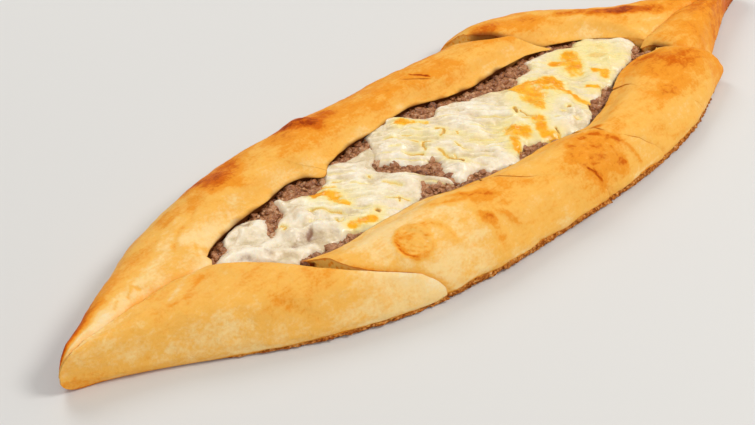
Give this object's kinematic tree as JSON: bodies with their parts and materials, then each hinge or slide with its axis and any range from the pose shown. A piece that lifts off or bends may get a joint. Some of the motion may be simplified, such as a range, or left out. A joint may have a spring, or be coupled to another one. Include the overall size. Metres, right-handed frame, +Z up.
{
  "type": "turkish pide",
  "caption": "A long boat of golden bread, its rims folded round ground meat and melted cheese, cut crosswise into slices that lie together.",
  "frame": {"origin": "the middle of the underside, under the middle of the pide's box", "axes": "+X along the pide from its blunt tip to its slim tip, +Y to the left of that way, +Z up"},
  "size_m": [0.45, 0.142, 0.0241],
  "materials": {
    "crust": "baked bread, brushed with egg, satin with glossy patches and brown blisters",
    "meat": "cooked ground meat, moist and rough",
    "cheese": "melted cheese, soft and slightly glossy"
  },
  "bodies": {
    "root": {"crust_slice_1": "crust", "crust_slice_2": "crust", "crust_slice_3": "crust", "crust_slice_4": "crust", "crust_slice_5": "crust", "crust_slice_6": "crust", "crust_slice_7": "crust", "meat_slice_1": "meat", "meat_slice_2": "meat", "meat_slice_3": "meat", "meat_slice_4": "meat", "meat_slice_5": "meat", "meat_slice_6": "meat", "meat_slice_7": "meat", "cheese_near": "cheese", "cheese_far": "cheese"}
  },
  "joints": []
}
